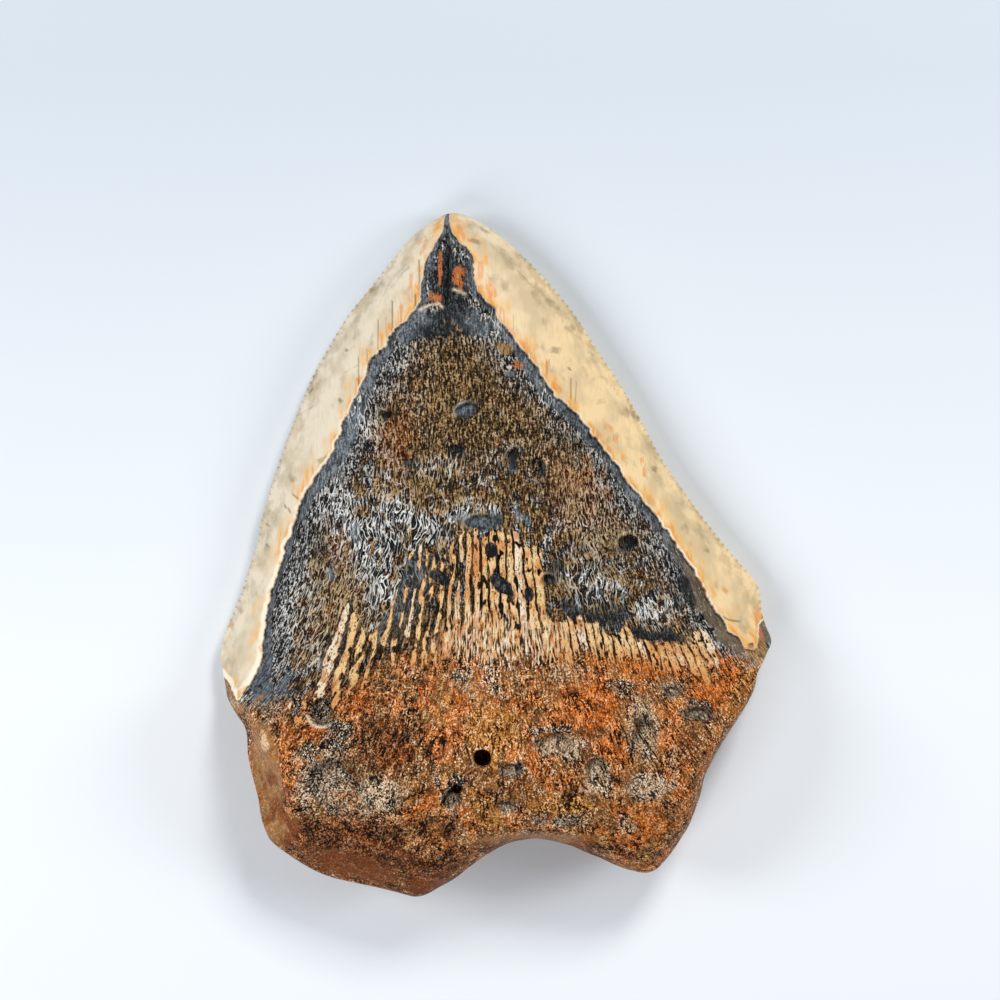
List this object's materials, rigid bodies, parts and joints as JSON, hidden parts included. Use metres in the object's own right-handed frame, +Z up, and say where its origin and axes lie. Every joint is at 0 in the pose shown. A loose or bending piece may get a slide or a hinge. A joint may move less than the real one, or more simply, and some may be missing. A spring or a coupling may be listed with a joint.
{
  "type": "fossil megalodon tooth",
  "caption": "Fossil megalodon tooth lying flat: serrated triangular blade with broken enamel over a thick, rusty, forked root.",
  "frame": {"origin": "on the resting surface, below the middle of the tooth's outline", "axes": "+Y from the root to the tip, +X to the tooth's right as seen from above, +Z up out of the domed lingual face"},
  "size_m": [0.0787, 0.0975, 0.0217],
  "materials": {
    "fossil_tooth": "worn, half glossy: cream enamel, near-black dentine and rust-brown root"
  },
  "bodies": {
    "root": {"tooth": "fossil_tooth"}
  },
  "joints": []
}
